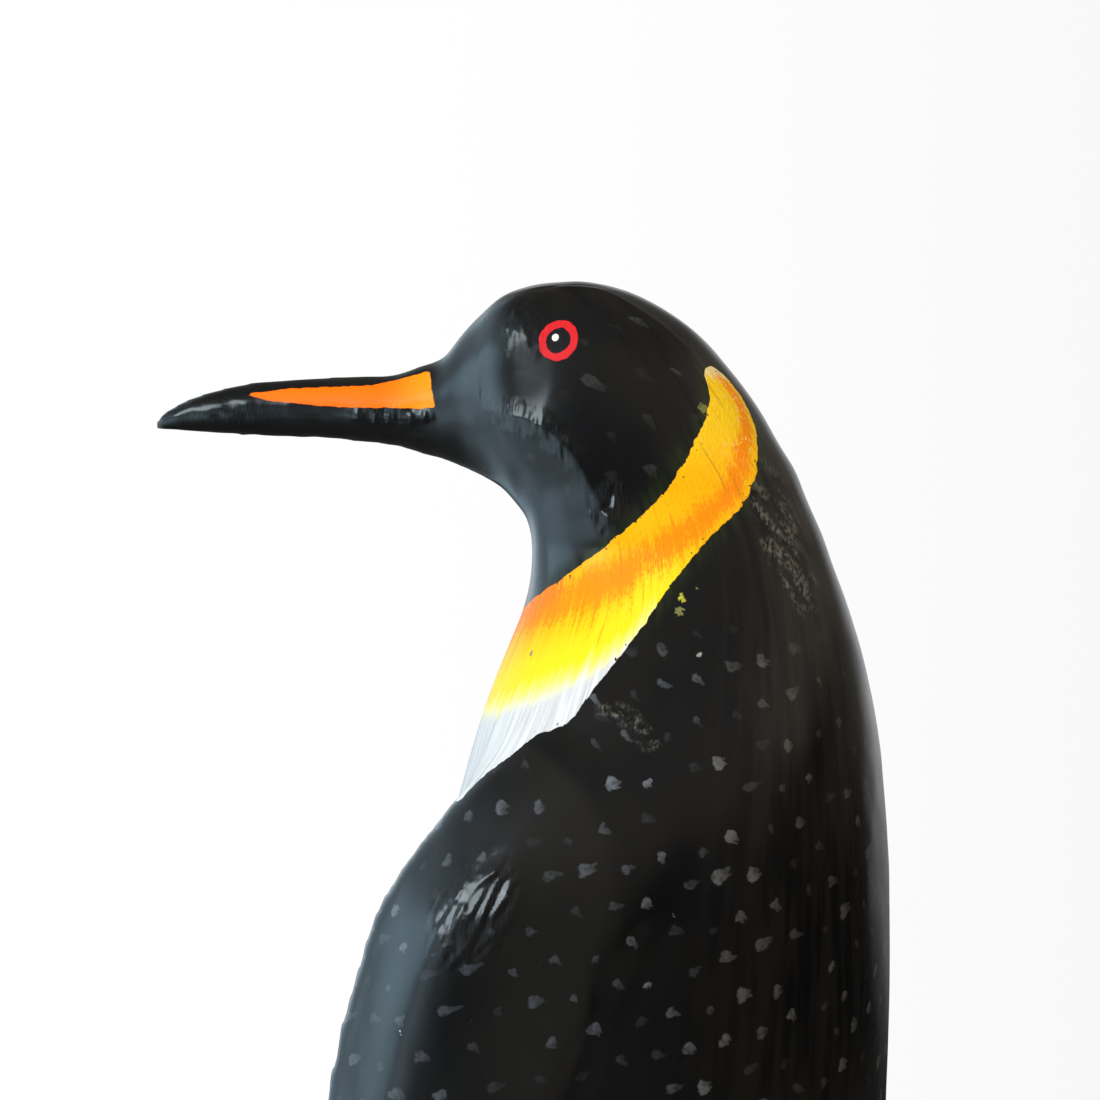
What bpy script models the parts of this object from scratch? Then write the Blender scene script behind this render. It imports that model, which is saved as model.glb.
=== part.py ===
"""A standing king penguin carved from one block of wood, on a low oval base.

The bird faces -Y, its left side is +X, and the origin is the centre of the base's underside.
Everything is in metres. The bird's proportions are thousandths of its height, so the tables
below hold whole numbers that read like a carver's square grid. The base has its own sizes.
"""

import math

import bmesh
import bpy
import numpy as np

# Driving dimensions.
BIRD_HEIGHT = 0.778  # from the soles to the crown
BASE_HEIGHT = 0.022
BASE_LENGTH = 0.240  # along Y, under toes and tail
BASE_WIDTH = 0.190
BASE_ROUNDING = 0.006  # radius along the base's two edges

# Fineness of the surface.
BODY_SIDES = 40
BILL_SIDES = 18
FLIPPER_SIDES = 22
TAIL_SIDES = 18
TOE_SIDES = 10
BASE_SIDES = 64
STEPS = 2  # rings from one station of a table to the next

# All sizes from here to the functions are thousandths of the bird's height, measured from its
# soles, its middle plane and the base's centre.
FOOT_SINK = 12  # how deep body, toes and tail run down into the base

# Rows from the base up: height, breast line, back line, widest line, half width.
BODY_FULLNESS = 0.05  # how much squarer a section is than two half ellipses
BODY = [
    (0, -52, 52, -4, 66),
    (24, -66, 60, -6, 78),
    (58, -88, 71, -6, 95),
    (100, -107, 81, -5, 109),
    (150, -121, 90, -4, 119),
    (210, -131, 99, -2, 127),
    (280, -138, 108, 0, 133),
    (360, -140, 116, 2, 138),
    (440, -137, 123, 4, 140),
    (515, -131, 128, 6, 140),
    (590, -121, 131, 8, 138),
    (655, -110, 132, 10, 136),
    (712, -97, 130, 14, 129),
    (760, -84, 126, 18, 115),
    (796, -72, 120, 20, 96),
    (826, -61, 112, 20, 77),
    (849, -57, 104, 18, 65),
    (868, -58, 97, 13, 59),
    (886, -62, 89, 7, 56),
    (900, -70, 83, 0, 56),
    (914, -82, 74, -7, 56),
    (932, -92, 63, -14, 55),
    (952, -96, 48, -21, 52),
    (970, -92, 32, -27, 46),
    (986, -78, 10, -33, 35),
    (996, -60, -12, -36, 21),
    (1000, -36, -36, -36, 0),
]

# The face and the bill. Rows from inside the head to the tip: distance forward, upper edge,
# lower edge, half width.
BILL = [
    (30, 990, 884, 30),
    (44, 999, 872, 45),
    (56, 999, 870, 45),
    (66, 997, 880, 42),
    (75, 993, 889, 38),
    (84, 986, 894, 33),
    (93, 978, 898, 28),
    (101, 969, 901, 25),
    (109, 960, 904, 22),
    (120, 956, 907, 20),
    (134, 951, 911, 18),
    (152, 949, 913, 16),
    (176, 948, 915, 14),
    (202, 947, 916, 12),
    (228, 944, 917, 10),
    (252, 938, 918, 8),
    (266, 932, 919, 6),
    (274, 927, 919, 4),
    (278, 921, 921, 0),
]

# Rows from the shoulder down: height, front edge across and along, rear edge across and along,
# outer bulge, inner bulge, and how faceted the outer side is, in per cent. Across is from the
# middle plane and along is to the back.
FLIPPER_RIDGE = 0.37  # the ridge between the two facets, as a share of the way to the rear edge
FLIPPER_CREASE = 6  # the higher, the sharper the ridge
FLIPPER = [
    (796, 72, 6, 80, 32, 2, 8, 0),
    (778, 90, -17, 92, 52, 9, 16, 0),
    (752, 102, -50, 98, 68, 22, 20, 10),
    (718, 107, -82, 111, 67, 32, 20, 35),
    (680, 108, -107, 130, 44, 34, 18, 60),
    (641, 109, -122, 140, 21, 31, 15, 75),
    (600, 110, -133, 146, 6, 28, 13, 80),
    (545, 113, -141, 150, -17, 24, 11, 80),
    (480, 118, -141, 153, -46, 18, 9, 75),
    (420, 126, -132, 153, -74, 13, 7, 60),
    (382, 132, -119, 150, -93, 8, 5, 30),
    (366, 140, -107, 140, -107, 0, 0, 0),
]

# Rows from the rump down to the base: height, front line inside the body, tip line, half width.
TAIL = [
    (235, 30, 92, 22),
    (190, 28, 101, 31),
    (130, 26, 116, 33),
    (70, 24, 130, 29),
    (20, 24, 138, 24),
    (0, 24, 140, 23),
]

# Rows of one toe from the heel to its tip: distance out, upper edge, lower edge, half width.
TOE = [
    (0, 40, -FOOT_SINK, 14),
    (45, 34, -FOOT_SINK, 17),
    (80, 25, -FOOT_SINK, 17),
    (106, 18, -FOOT_SINK, 13),
    (117, 12, -6, 8),
    (121, 3, 3, 0),
]
FOOT_ACROSS = 50  # from the middle plane to a heel
FOOT_FORWARD = 4  # from the base's centre to the heels
FOOT_TURN_OUT = math.radians(5)
TOE_FAN = math.radians(17)  # between one toe and the next


def share(thousandths):
    """A length, given in thousandths of the bird's height."""
    return thousandths * BIRD_HEIGHT / 1000


def level(thousandths):
    """A height above the floor, given in thousandths of the bird's height above its soles."""
    return BASE_HEIGHT + share(thousandths)


def smooth_rows(rows, round_end=False):
    """The rows with STEPS - 1 rows added in each interval, along a Catmull-Rom curve.

    A round end arrives level at its last row, as the top of a dome does.
    """
    table = np.array(rows, float)
    before = 2 * table[0] - table[1]
    after = 2 * table[-1] - table[-2]
    if round_end:
        after[0] = table[-2][0]
    points = np.vstack([before, table, after])
    smooth = []
    for first, start, end, last in zip(points, points[1:], points[2:], points[3:]):
        for step in range(STEPS):
            t = step / STEPS
            bend = 2 * first - 5 * start + 4 * end - last
            twist = 3 * (start - end) + last - first
            smooth.append(start + t * ((end - first) + t * (bend + t * twist)) / 2)
    smooth.append(table[-1])
    return smooth


def turns(sides):
    """The angles of a ring's points."""
    return [2 * math.pi * k / sides for k in range(sides)]


def level_oval(z, front, back, half_width, sides):
    """A level ellipse between a front line and a back line."""
    middle, half_length = (front + back) / 2, (back - front) / 2
    return [
        (half_width * math.sin(turn), middle - half_length * math.cos(turn), z)
        for turn in turns(sides)
    ]


def body_ring(z, front, back, widest, half_width):
    """A level section of the body, a full oval whose widest line needn't be its middle."""
    ring = []
    middle, half_length = (front + back) / 2, (back - front) / 2
    for turn in turns(BODY_SIDES):
        ahead, aside = math.cos(turn), math.sin(turn)
        x = half_width * aside * (1 + BODY_FULLNESS * ahead**2)
        y = middle - half_length * ahead * (1 + BODY_FULLNESS * aside**2)
        ring.append((x, y + (widest - middle) * aside**2, z))
    return ring


def loft(name, rings):
    """A closed skin through rings of equally many points. A ring may have shrunk to one point."""
    mesh = bmesh.new()
    rows = [[mesh.verts.new(point) for point in ring] for ring in rings]
    for row, following in zip(rows, rows[1:]):
        for k in range(len(row)):
            after = (k + 1) % len(row)
            mesh.faces.new((row[k], row[after], following[after], following[k]))
    mesh.faces.new(rows[0])
    mesh.faces.new(rows[-1])
    bmesh.ops.remove_doubles(mesh, verts=mesh.verts, dist=1e-6)
    bmesh.ops.recalc_face_normals(mesh, faces=mesh.faces)
    data = bpy.data.meshes.new(name)
    mesh.to_mesh(data)
    mesh.free()
    data.shade_smooth()
    return bpy.data.objects.new(name, data)


def make_body():
    """Body, neck and head in one skin, from under the base's top up to the crown."""
    rings = []
    for height, front, back, widest, half_width in smooth_rows(BODY, round_end=True):
        sizes = [share(value) for value in (front, back, widest, half_width)]
        rings.append(body_ring(level(height), *sizes))
    foot = [(x, y, level(-FOOT_SINK)) for x, y, z in rings[0]]
    return loft("penguin_carving", [foot] + rings)


def pointed_rings(rows, sides):
    """Upright oval sections along -Y, from rows of distance, upper edge, lower edge, half width."""
    rings = []
    for forward, upper, lower, half_width in smooth_rows(rows, round_end=True):
        middle = level((upper + lower) / 2)
        half_height = share((upper - lower) / 2)
        ring = []
        for turn in turns(sides):
            x = share(half_width) * math.sin(turn)
            ring.append((x, -share(forward), middle + half_height * math.cos(turn)))
        rings.append(ring)
    return rings


def make_bill():
    """The face and the bill, from inside the head to the blunt tip."""
    return loft("bill", pointed_rings(BILL, BILL_SIDES))


def flipper_bulge(along, faceted):
    """How far a flipper stands out from its chord, as a share of its bulge.

    Two flat facets meet at the ridge as a soft minimum. They are mixed with a half ellipse, so
    that both edges are round.
    """
    rising = max(along, 1e-6) / FLIPPER_RIDGE
    falling = max(1 - along, 1e-6) / (1 - FLIPPER_RIDGE)
    facets = (rising**-FLIPPER_CREASE + falling**-FLIPPER_CREASE) ** (-1 / FLIPPER_CREASE)
    round_side = 2 * math.sqrt(max(along * (1 - along), 0))
    return faceted * facets + (1 - faceted) * round_side


def flipper_ring(z, front_edge, rear_edge, outer, inner, faceted):
    """A level section of a flipper: from its front edge to its rear edge and back."""
    chord = rear_edge - front_edge
    outward = np.array((chord[1], -chord[0])) / max(np.hypot(*chord), 1e-9)
    ring = []
    for turn in turns(FLIPPER_SIDES):
        along = (1 - math.cos(turn)) / 2
        if math.sin(turn) > 0:
            across = outer * flipper_bulge(along, faceted)
        else:
            across = inner * math.sin(turn)
        x, y = front_edge + chord * along + outward * across
        ring.append((x, y, z))
    return ring


def make_flippers():
    """The left flipper, from inside the shoulder to its tip, and its mirror image."""
    rings = []
    for height, *edges, outer, inner, faceted in smooth_rows(FLIPPER, round_end=True):
        front_edge = share(np.array(edges[:2]))
        rear_edge = share(np.array(edges[2:]))
        bulges = share(outer), share(inner), faceted / 100
        rings.append(flipper_ring(level(height), front_edge, rear_edge, *bulges))
    flippers = loft("flippers", rings)
    mirror = flippers.modifiers.new("right_side", "MIRROR")
    mirror.merge_threshold = 0.0001
    return flippers


def make_tail():
    """The short tail, a wedge from the rump down to the base."""
    rings = []
    for height, front, tip, half_width in smooth_rows(TAIL):
        rings.append(level_oval(level(height), share(front), share(tip), share(half_width), TAIL_SIDES))
    foot = [(x, y, level(-FOOT_SINK)) for x, y, z in rings[-1]]
    return loft("tail", rings + [foot])


def make_toe(name, side, turn_out):
    """One toe, turned out by an angle round its heel."""
    toe = loft(name, pointed_rings(TOE, TOE_SIDES))
    toe.location = (side * share(FOOT_ACROSS), -share(FOOT_FORWARD), 0)
    toe.rotation_euler.z = side * turn_out
    return toe


def make_base():
    """The low oval base, with its two edges rounded."""
    bpy.ops.mesh.primitive_cylinder_add(
        vertices=BASE_SIDES, radius=0.5, depth=BASE_HEIGHT, location=(0, 0, BASE_HEIGHT / 2)
    )
    base = bpy.context.object
    base.name = "base"
    base.scale = (BASE_WIDTH, BASE_LENGTH, 1)
    bpy.ops.object.transform_apply(location=True, rotation=False, scale=True)
    base.data.shade_smooth()
    rounding = base.modifiers.new("rounding", "BEVEL")
    rounding.width = BASE_ROUNDING
    rounding.segments = 3
    rounding.limit_method = "ANGLE"
    rounding.angle_limit = math.radians(60)
    return base


def paint(name, colour, roughness):
    """A glossy paint."""
    material = bpy.data.materials.new(name)
    material.use_nodes = True
    shader = material.node_tree.nodes["Principled BSDF"]
    shader.inputs["Base Color"].default_value = (*colour, 1)
    shader.inputs["Roughness"].default_value = roughness
    shader.inputs["Metallic"].default_value = 0
    return material


def collection(name):
    """A new collection in the scene."""
    made = bpy.data.collections.new(name)
    bpy.context.scene.collection.children.link(made)
    return made


def move_to(target, thing):
    """Puts an object in one collection only."""
    for holder in list(thing.users_collection):
        holder.objects.unlink(thing)
    target.objects.link(thing)


for old in list(bpy.data.objects):
    bpy.data.objects.remove(old, do_unlink=True)

carving_parts = collection("wooden_penguin")
joined_shapes = collection("joined_shapes")

bird = make_body()
move_to(carving_parts, bird)
bird.data.materials.append(paint("black_paint", (0.012, 0.012, 0.013), 0.18))

shapes = [make_bill(), make_flippers(), make_tail(), make_base()]
for side, side_name in ((1, "left"), (-1, "right")):
    for place in (-1, 0, 1):
        shapes.append(make_toe(f"{side_name}_toe_{place + 2}", side, FOOT_TURN_OUT + place * TOE_FAN))

for shape in shapes:
    move_to(joined_shapes, shape)
    shape.hide_render = True
    shape.display_type = "WIRE"
    union = bird.modifiers.new(f"with_{shape.name}", "BOOLEAN")
    union.operation = "UNION"
    union.solver = "EXACT"
    union.object = shape
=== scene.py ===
"""A king penguin carved from one block of wood, filled, painted black and varnished.

Neck band, bill stripe, breast, eye rings and the small grey daubs are painted on by hand.
The bird faces -Y, its left side is +X, and it stands on z = 0. Lengths are in metres, but the
carver's tables hold thousandths of the bird's height.
"""

import math

import bmesh
import bpy
import numpy as np
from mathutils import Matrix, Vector


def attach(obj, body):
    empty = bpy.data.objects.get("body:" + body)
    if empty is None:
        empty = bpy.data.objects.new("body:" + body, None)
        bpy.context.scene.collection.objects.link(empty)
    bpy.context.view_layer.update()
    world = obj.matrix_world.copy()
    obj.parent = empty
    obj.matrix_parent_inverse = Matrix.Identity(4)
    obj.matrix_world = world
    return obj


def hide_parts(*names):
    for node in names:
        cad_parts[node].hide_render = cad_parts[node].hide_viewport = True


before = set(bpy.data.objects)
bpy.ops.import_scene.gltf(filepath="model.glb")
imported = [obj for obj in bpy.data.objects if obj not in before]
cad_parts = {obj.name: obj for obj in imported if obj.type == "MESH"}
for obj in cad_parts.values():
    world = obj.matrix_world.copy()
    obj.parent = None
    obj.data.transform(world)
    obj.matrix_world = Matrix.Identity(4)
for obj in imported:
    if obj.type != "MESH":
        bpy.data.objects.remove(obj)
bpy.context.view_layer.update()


# Camera and lights. The camera stands behind the bird's left shoulder and looks a little down.
# Two square soft lights hang over its left side, one ahead of it and one behind.
CAMERA_TARGET = np.array((0.0, -0.039, 0.6882))
CAMERA_DISTANCE = 1.6
CAMERA_AZIMUTH = math.radians(107)
CAMERA_ELEVATION = math.radians(3)
CAMERA_VIEW = 1100 / 3840  # the width that it sees, as a share of the distance
LIGHT_TARGET = np.array((0.0, 0.0, 0.62))
LIGHT_DISTANCE = 2.2
LIGHT_SIDE = 1.5


def towards(azimuth, elevation):
    """The direction from the bird to a place round it. Azimuth 0 is ahead of it, 90 at its left."""
    level = math.cos(elevation)
    return np.array(
        (math.sin(azimuth) * level, -math.cos(azimuth) * level, math.sin(elevation))
    )


def aim(thing, place, target):
    """Puts a camera or light at a place, looking at a target."""
    thing.location = place
    thing.rotation_euler = Vector(target - place).to_track_quat("-Z", "Y").to_euler()
    bpy.context.scene.collection.objects.link(thing)


def soft_light(name, azimuth, elevation, power):
    """A soft light aimed at the bird's shoulder. It isn't mirrored in the varnish."""
    data = bpy.data.lights.new(name, "AREA")
    data.shape = "SQUARE"
    data.size = LIGHT_SIDE
    data.energy = power
    light = bpy.data.objects.new(name, data)
    light.visible_glossy = False
    way = towards(math.radians(azimuth), math.radians(elevation))
    aim(light, LIGHT_TARGET + LIGHT_DISTANCE * way, LIGHT_TARGET)


view = bpy.data.cameras.new("view")
view.sensor_width = 36
view.lens = view.sensor_width / CAMERA_VIEW
camera = bpy.data.objects.new("camera", view)
camera_way = towards(CAMERA_AZIMUTH, CAMERA_ELEVATION)
aim(camera, CAMERA_TARGET + CAMERA_DISTANCE * camera_way, CAMERA_TARGET)
bpy.context.scene.camera = camera
bpy.context.scene.view_settings.view_transform = "Standard"

soft_light("daylight", 62, 34, 48)
soft_light("daylight_behind", 150, 40, 27)


# The room, white to the camera and a little greyer to the right. The rest of it only shows in the
# varnish: a dim room with a bright window, pale walls and a light ceiling, all as soft glows.
GLOWS = [  # azimuth, angles at which it is gone and full, foot, top, colour
    (46, 14, 5, (0.15, 0.29), (0.52, 0.38), (6.0, 7.0, 7.6)),  # the window, ahead to the left
    (0, 63, 42, (-1.2, -1.1), (0.80, 0.22), (0.47, 0.66, 0.80)),  # the bluish wall ahead
    (30, 33, 15, (-1.2, -1.1), (0.10, -0.24), (0.46, 0.60, 0.68)),  # its foot
    (9, 24, 8, (-0.34, -0.14), (0.34, 0.14), (0.30, 0.46, 0.56)),  # and its brighter middle
    (9, 22, 6, (-0.10, 0.08), (0.34, 0.20), (0.60, 0.90, 1.10)),
    (50, 24, 8, (-0.35, -0.12), (0.16, 0.02), (0.20, 0.27, 0.31)),  # the wall under the window
    (287, 50, 18, (-0.22, -0.02), (0.42, 0.10), (0.58, 0.60, 0.62)),  # the wall at its right
    (205, 50, 20, (0.16, 0.42), (0.92, 0.62), (0.23, 0.20, 0.155)),  # warm walls behind it
    (235, 32, 12, (-0.10, 0.06), (0.50, 0.30), (0.09, 0.08, 0.065)),
    (140, 60, 25, (-0.05, 0.30), (0.95, 0.60), (0.09, 0.08, 0.065)),
    (75, 50, 15, (-1.2, -1.1), (1.2, 1.1), (0.04, 0.04, 0.04)),  # the dim side at its left
    (110, 180, 175, (0.08, 0.42), (1.2, 1.1), (0.11, 0.104, 0.094)),  # the ceiling
]


def add(tree, kind, settings=(), **values):
    """A shader node with its settings, and its inputs set or linked by name."""
    node = tree.nodes.new(kind)
    for name, value in dict(settings).items():
        setattr(node, name, value)
    for name, value in values.items():
        name = name.replace("_", " ")
        if isinstance(value, bpy.types.NodeSocket):
            tree.links.new(value, node.inputs[name])
        else:
            node.inputs[name].default_value = value
    return node


def fill(tree, node, values):
    """Sets or links a node's inputs in order."""
    for slot, value in zip(node.inputs, values):
        if isinstance(value, bpy.types.NodeSocket):
            tree.links.new(value, slot)
        else:
            slot.default_value = value


def vector(tree, operation, *values, result="Vector"):
    """The result of a Vector Math node on sockets or vectors."""
    node = add(tree, "ShaderNodeVectorMath", {"operation": operation})
    fill(tree, node, values)
    return node.outputs[result]


def scaled(tree, value, scale):
    """A vector or colour times a scale."""
    node = add(tree, "ShaderNodeVectorMath", {"operation": "SCALE"}, Scale=scale)
    fill(tree, node, [value])
    return node.outputs[0]


def rise(tree, value, low, high, least=0.0, most=1.0):
    """Eased from least at low to most at high. Low may be above high."""
    node = add(tree, "ShaderNodeMapRange", {"interpolation_type": "SMOOTHSTEP"}, Value=value)
    for slot, number in zip(("From Min", "From Max", "To Min", "To Max"), (low, high, least, most)):
        node.inputs[slot].default_value = number
    return node.outputs["Result"]


def mixed(tree, part, first, second):
    """One colour over another, by a share of the second."""
    node = add(tree, "ShaderNodeMix", {"data_type": "RGBA"})
    for slot, value in ((0, part), (6, first), (7, second)):
        if isinstance(value, bpy.types.NodeSocket):
            tree.links.new(value, node.inputs[slot])
        else:
            node.inputs[slot].default_value = value if slot == 0 else (*value, 1)
    return node.outputs[2]


world = bpy.data.worlds.new("room")
bpy.context.scene.world = world
world.use_nodes = True
tree = world.node_tree
tree.nodes.clear()
way = add(tree, "ShaderNodeTexCoord").outputs["Generated"]
way_parts = add(tree, "ShaderNodeSeparateXYZ", Vector=way).outputs
compass = vector(tree, "NORMALIZE", vector(tree, "MULTIPLY", way, (1, 1, 0)))


def glow(azimuth, dark, full, foot, top, colour):
    """Light of a colour round an azimuth, full within one angle to either side and none past another.

    Upwards it rises between the two heights of its foot and falls between the two of its top, and
    a height is the sine of the elevation. The result is the colour times all three.
    """
    way = towards(math.radians(azimuth), 0)
    near = vector(tree, "DOT_PRODUCT", compass, way, result="Value")
    near = rise(tree, near, math.cos(math.radians(dark)), math.cos(math.radians(full)))
    lit = scaled(tree, colour, near)
    for heights in (foot, top):
        lit = scaled(tree, lit, rise(tree, way_parts["Z"], *heights))
    return lit


mirrored = (0, 0, 0)
for row in GLOWS:
    mirrored = vector(tree, "ADD", mirrored, glow(*row))
shown = mixed(tree, rise(tree, way_parts["Y"], 0.05, -0.45), (0.90, 0.90, 0.895), (1.02, 1.02, 1.02))
seen = add(tree, "ShaderNodeLightPath").outputs["Is Camera Ray"]
background = add(tree, "ShaderNodeBackground", Color=mixed(tree, seen, mirrored, shown))
add(tree, "ShaderNodeOutputWorld", Surface=background.outputs[0])


# A plain pale floor, which melts into the white of the room with distance. In the varnish it is
# dark near the bird, and runs into the bluish wall ahead.
FLOOR_RADIUS = 2.1
around = np.linspace(0, 2 * np.pi, 97)[:-1]
rim = np.column_stack([FLOOR_RADIUS * np.cos(around), FLOOR_RADIUS * np.sin(around), 0 * around])
floor_mesh = bpy.data.meshes.new("floor")
floor_mesh.from_pydata(rim.tolist(), [], [list(range(len(rim)))])
floor = bpy.data.objects.new("floor", floor_mesh)
bpy.context.scene.collection.objects.link(floor)
floor_paint = bpy.data.materials.new("pale_floor")
floor_paint.use_nodes = True
tree = floor_paint.node_tree
shader = tree.nodes["Principled BSDF"]
shader.inputs["Roughness"].default_value = 0.7
place = add(tree, "ShaderNodeTexCoord").outputs["Object"]
along = add(tree, "ShaderNodeSeparateXYZ", Vector=place).outputs["Y"]
melt = rise(tree, vector(tree, "LENGTH", place, result="Value"), 0.10, 1.80, 0.18, 0.80)
seen = add(tree, "ShaderNodeLightPath").outputs["Is Camera Ray"]
shine = add(tree, "ShaderNodeMix", Factor=seen, A=rise(tree, along, -0.70, -1.60), B=melt)
for slot, value in (
    ("Base Color", mixed(tree, seen, (0.09, 0.085, 0.08), (0.82, 0.82, 0.82))),
    ("Emission Color", mixed(tree, seen, (0.50, 0.70, 0.84), (0.98, 0.98, 0.98))),
    ("Emission Strength", shine.outputs["Result"]),
):
    tree.links.new(value, shader.inputs[slot])
floor_mesh.materials.append(floor_paint)


# The block: body, neck and head, roughed out as one round form. Each row is a level section:
# height, breast line, back line, widest line, half width, in thousandths of the bird's height.
BIRD_HEIGHT = 0.778
BASE_HEIGHT = 0.022
FULLNESS = 0.05  # how much squarer a section is than two half ellipses
BODY = [
    (0, -52, 52, -4, 66),
    (24, -66, 60, -6, 78),
    (58, -88, 71, -6, 95),
    (100, -107, 81, -5, 109),
    (150, -121, 90, -4, 119),
    (210, -131, 99, -2, 127),
    (280, -138, 108, 0, 133),
    (360, -140, 116, 2, 138),
    (440, -137, 123, 4, 140),
    (515, -131, 128, 6, 140),
    (590, -121, 131, 8, 138),
    (655, -110, 132, 10, 136),
    (712, -97, 130, 14, 129),
    (760, -84, 126, 18, 115),
    (796, -72, 120, 20, 96),
    (826, -61, 112, 20, 77),
    (849, -57, 104, 18, 65),
    (868, -58, 97, 13, 59),
    (886, -62, 89, 7, 56),
    (900, -70, 83, 0, 56),
    (914, -82, 74, -7, 56),
    (932, -92, 63, -14, 55),
    (952, -96, 48, -21, 52),
    (970, -92, 32, -27, 46),
    (986, -78, 10, -33, 35),
    (996, -60, -12, -36, 21),
    (1000, -36, -36, -36, 0),
]


def share(thousandths):
    """A length in metres, from thousandths of the bird's height."""
    return thousandths * BIRD_HEIGHT / 1000


def level(thousandths):
    """A height over the floor in metres, from thousandths of the bird's height over its soles."""
    return BASE_HEIGHT + share(thousandths)


def spline(rows, fine, dome=False):
    """A smooth curve through the rows, with fine steps from one to the next.

    Each stretch is a cubic, and slope and bend both run on from one stretch to the next. A dome
    is carried on by its own mirror image, so that it arrives level at its last row.
    """
    table = np.array(rows, float)
    last = len(table) - 1
    if dome:
        mirrored = 2 * table[-1] - table[-2::-1]
        mirrored[:, 0] = table[-2::-1, 0]
        table = np.vstack([table, mirrored])
    count = len(table)
    system = np.diag(np.full(count, 4.0))
    system += np.diag(np.ones(count - 1), 1) + np.diag(np.ones(count - 1), -1)
    system[[0, -1]] = 0
    system[0, 0] = system[-1, -1] = 1
    pull = np.zeros_like(table)
    pull[1:-1] = 6 * (table[2:] - 2 * table[1:-1] + table[:-2])
    bend = np.linalg.solve(system, pull)
    places = np.linspace(0, last, last * fine + 1)
    start = np.minimum(places.astype(int), count - 2)
    after = (places - start)[:, None]
    before = 1 - after
    line = before * table[start] + after * table[start + 1]
    curve = (before**3 - before) * bend[start] + (after**3 - after) * bend[start + 1]
    return line + curve / 6


def turns(sides):
    """The angles of the points round a section, as a row."""
    return np.linspace(0, 2 * np.pi, sides, endpoint=False)[None, :]


def body_section(rows, turn):
    """Points of the body's level sections, in thousandths. t is 0 at the breast line.

    An oval is pushed out a little between its axes: x is the half width times sin t
    (1 + k cos² t), and y is the middle less the half length times cos t (1 + k sin² t), plus the
    widest line's own offset times sin² t.
    """
    height, front, back, widest, wide = rows.T[:, :, None]
    middle = (front + back) / 2
    half = (back - front) / 2
    ahead = np.cos(turn)
    aside = np.sin(turn)
    x = wide * aside * (1 + FULLNESS * ahead**2)
    y = middle - half * ahead * (1 + FULLNESS * aside**2) + (widest - middle) * aside**2
    return np.stack(np.broadcast_arrays(x, y, height), axis=-1)


def placed(points):
    """Points in thousandths, put where they are over the floor, in metres."""
    return np.stack([share(points[..., 0]), share(points[..., 1]), level(points[..., 2])], axis=-1)


def closed_skin(grid):
    """Points and faces of a skin over a grid of sections, closed at both ends by a middle point."""
    rings, sides = grid.shape[:2]
    points = np.vstack([grid.reshape(-1, 3), grid[0].mean(0), grid[-1].mean(0)])
    ring, k = np.meshgrid(np.arange(rings - 1), np.arange(sides), indexing="ij")
    after = (k + 1) % sides
    here = ring * sides
    walls = np.stack([here + k, here + after, here + sides + after, here + sides + k], axis=-1)
    around = np.arange(sides)
    onward = (around + 1) % sides
    foot = np.full(sides, rings * sides)
    first = np.stack([foot, onward, around, around], axis=-1)
    top = (rings - 1) * sides
    last = np.stack([foot + 1, top + around, top + onward, top + onward], axis=-1)
    return points, np.vstack([walls.reshape(-1, 4), first, last])


body_rows = spline(BODY, 20, dome=True)
body_foot = body_rows[:1] * (0, 1, 1, 1, 1) - (12, 0, 0, 0, 0)
body_grid = body_section(np.vstack([body_foot, body_rows]), turns(144))
skins = [closed_skin(placed(body_grid))]


# The face and the bill, left long and straight in the same block. Each row is an upright oval:
# distance forward, upper edge, lower edge, half width, in thousandths.
BILL = [
    (30, 990, 884, 30),
    (44, 999, 872, 45),
    (56, 999, 870, 45),
    (66, 997, 880, 42),
    (75, 993, 889, 38),
    (84, 986, 894, 33),
    (93, 978, 898, 28),
    (101, 969, 901, 25),
    (109, 960, 904, 22),
    (120, 956, 907, 20),
    (134, 951, 911, 18),
    (152, 949, 913, 16),
    (176, 948, 915, 14),
    (202, 947, 916, 12),
    (228, 944, 917, 10),
    (252, 938, 918, 8),
    (266, 932, 919, 6),
    (274, 927, 919, 4),
    (278, 921, 921, 0),
]


def upright_section(rows, turn):
    """Points of upright ovals along -Y: x and z are half width and half height times sin and cos."""
    forward, upper, lower, wide = rows.T[:, :, None]
    x = wide * np.sin(turn)
    z = (upper + lower) / 2 + (upper - lower) / 2 * np.cos(turn)
    return np.stack(np.broadcast_arrays(x, -forward, z), axis=-1)


skins.append(closed_skin(placed(upright_section(spline(BILL, 8, dome=True), turns(64)))))


# The flippers, two blades cut free of the body at the front and left fast to it at the shoulder
# and along the back edge. Each row is a level section: height, front edge across and along, rear
# edge across and along, outer and inner bulge in thousandths, and how faceted it is in per cent.
FLIPPER = [
    (796, 72, 6, 80, 32, 2, 8, 0),
    (778, 90, -17, 92, 52, 9, 16, 0),
    (752, 102, -50, 98, 68, 22, 20, 10),
    (718, 107, -82, 111, 67, 32, 20, 35),
    (680, 108, -107, 130, 44, 34, 18, 60),
    (641, 109, -122, 140, 21, 31, 15, 75),
    (600, 110, -133, 146, 6, 28, 13, 80),
    (545, 113, -141, 150, -17, 24, 11, 80),
    (480, 118, -141, 153, -46, 18, 9, 75),
    (420, 126, -132, 153, -74, 13, 7, 60),
    (382, 132, -119, 150, -93, 8, 5, 30),
    (366, 140, -107, 140, -107, 0, 0, 0),
]
FLIPPER_RIDGE = 0.37  # the ridge between the two facets, as a share of the way to the rear edge
FLIPPER_CREASE = 6  # the higher, the sharper the ridge


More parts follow.
